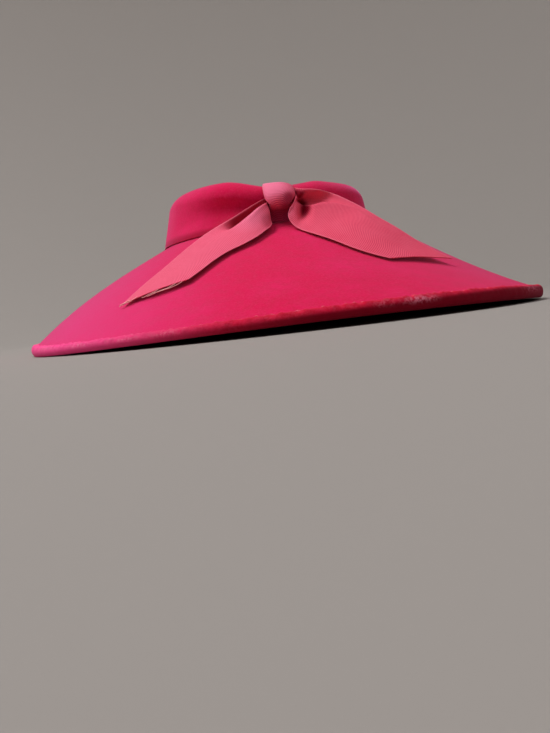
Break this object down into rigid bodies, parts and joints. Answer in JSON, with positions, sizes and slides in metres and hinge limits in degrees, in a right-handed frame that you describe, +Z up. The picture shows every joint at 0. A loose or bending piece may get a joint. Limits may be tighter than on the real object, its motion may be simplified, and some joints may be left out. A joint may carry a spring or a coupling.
{
  "type": "wide-brim hat",
  "caption": "Wide-brim felt hat with a low crown, a padded rolled rim and a flat ribbon bow at the front; worn for shade or dress.",
  "frame": {"origin": "middle of the rim, on the surface that the hat rests on", "axes": "+Z up through the crown; -Y towards the front, where the bow is; +X to the right as seen from the front"},
  "size_m": [0.3949, 0.3949, 0.116],
  "materials": {
    "felt": "soft brushed nap",
    "rolled_felt": "matt, worn at the edge",
    "grosgrain": "fine cross ribs, dull sheen"
  },
  "bodies": {
    "root": {"brim": "felt", "crown": "felt", "edge_binding": "rolled_felt", "ribbon_knot": "grosgrain", "ribbon_tail_left": "grosgrain", "ribbon_tail_right": "grosgrain"}
  },
  "joints": []
}
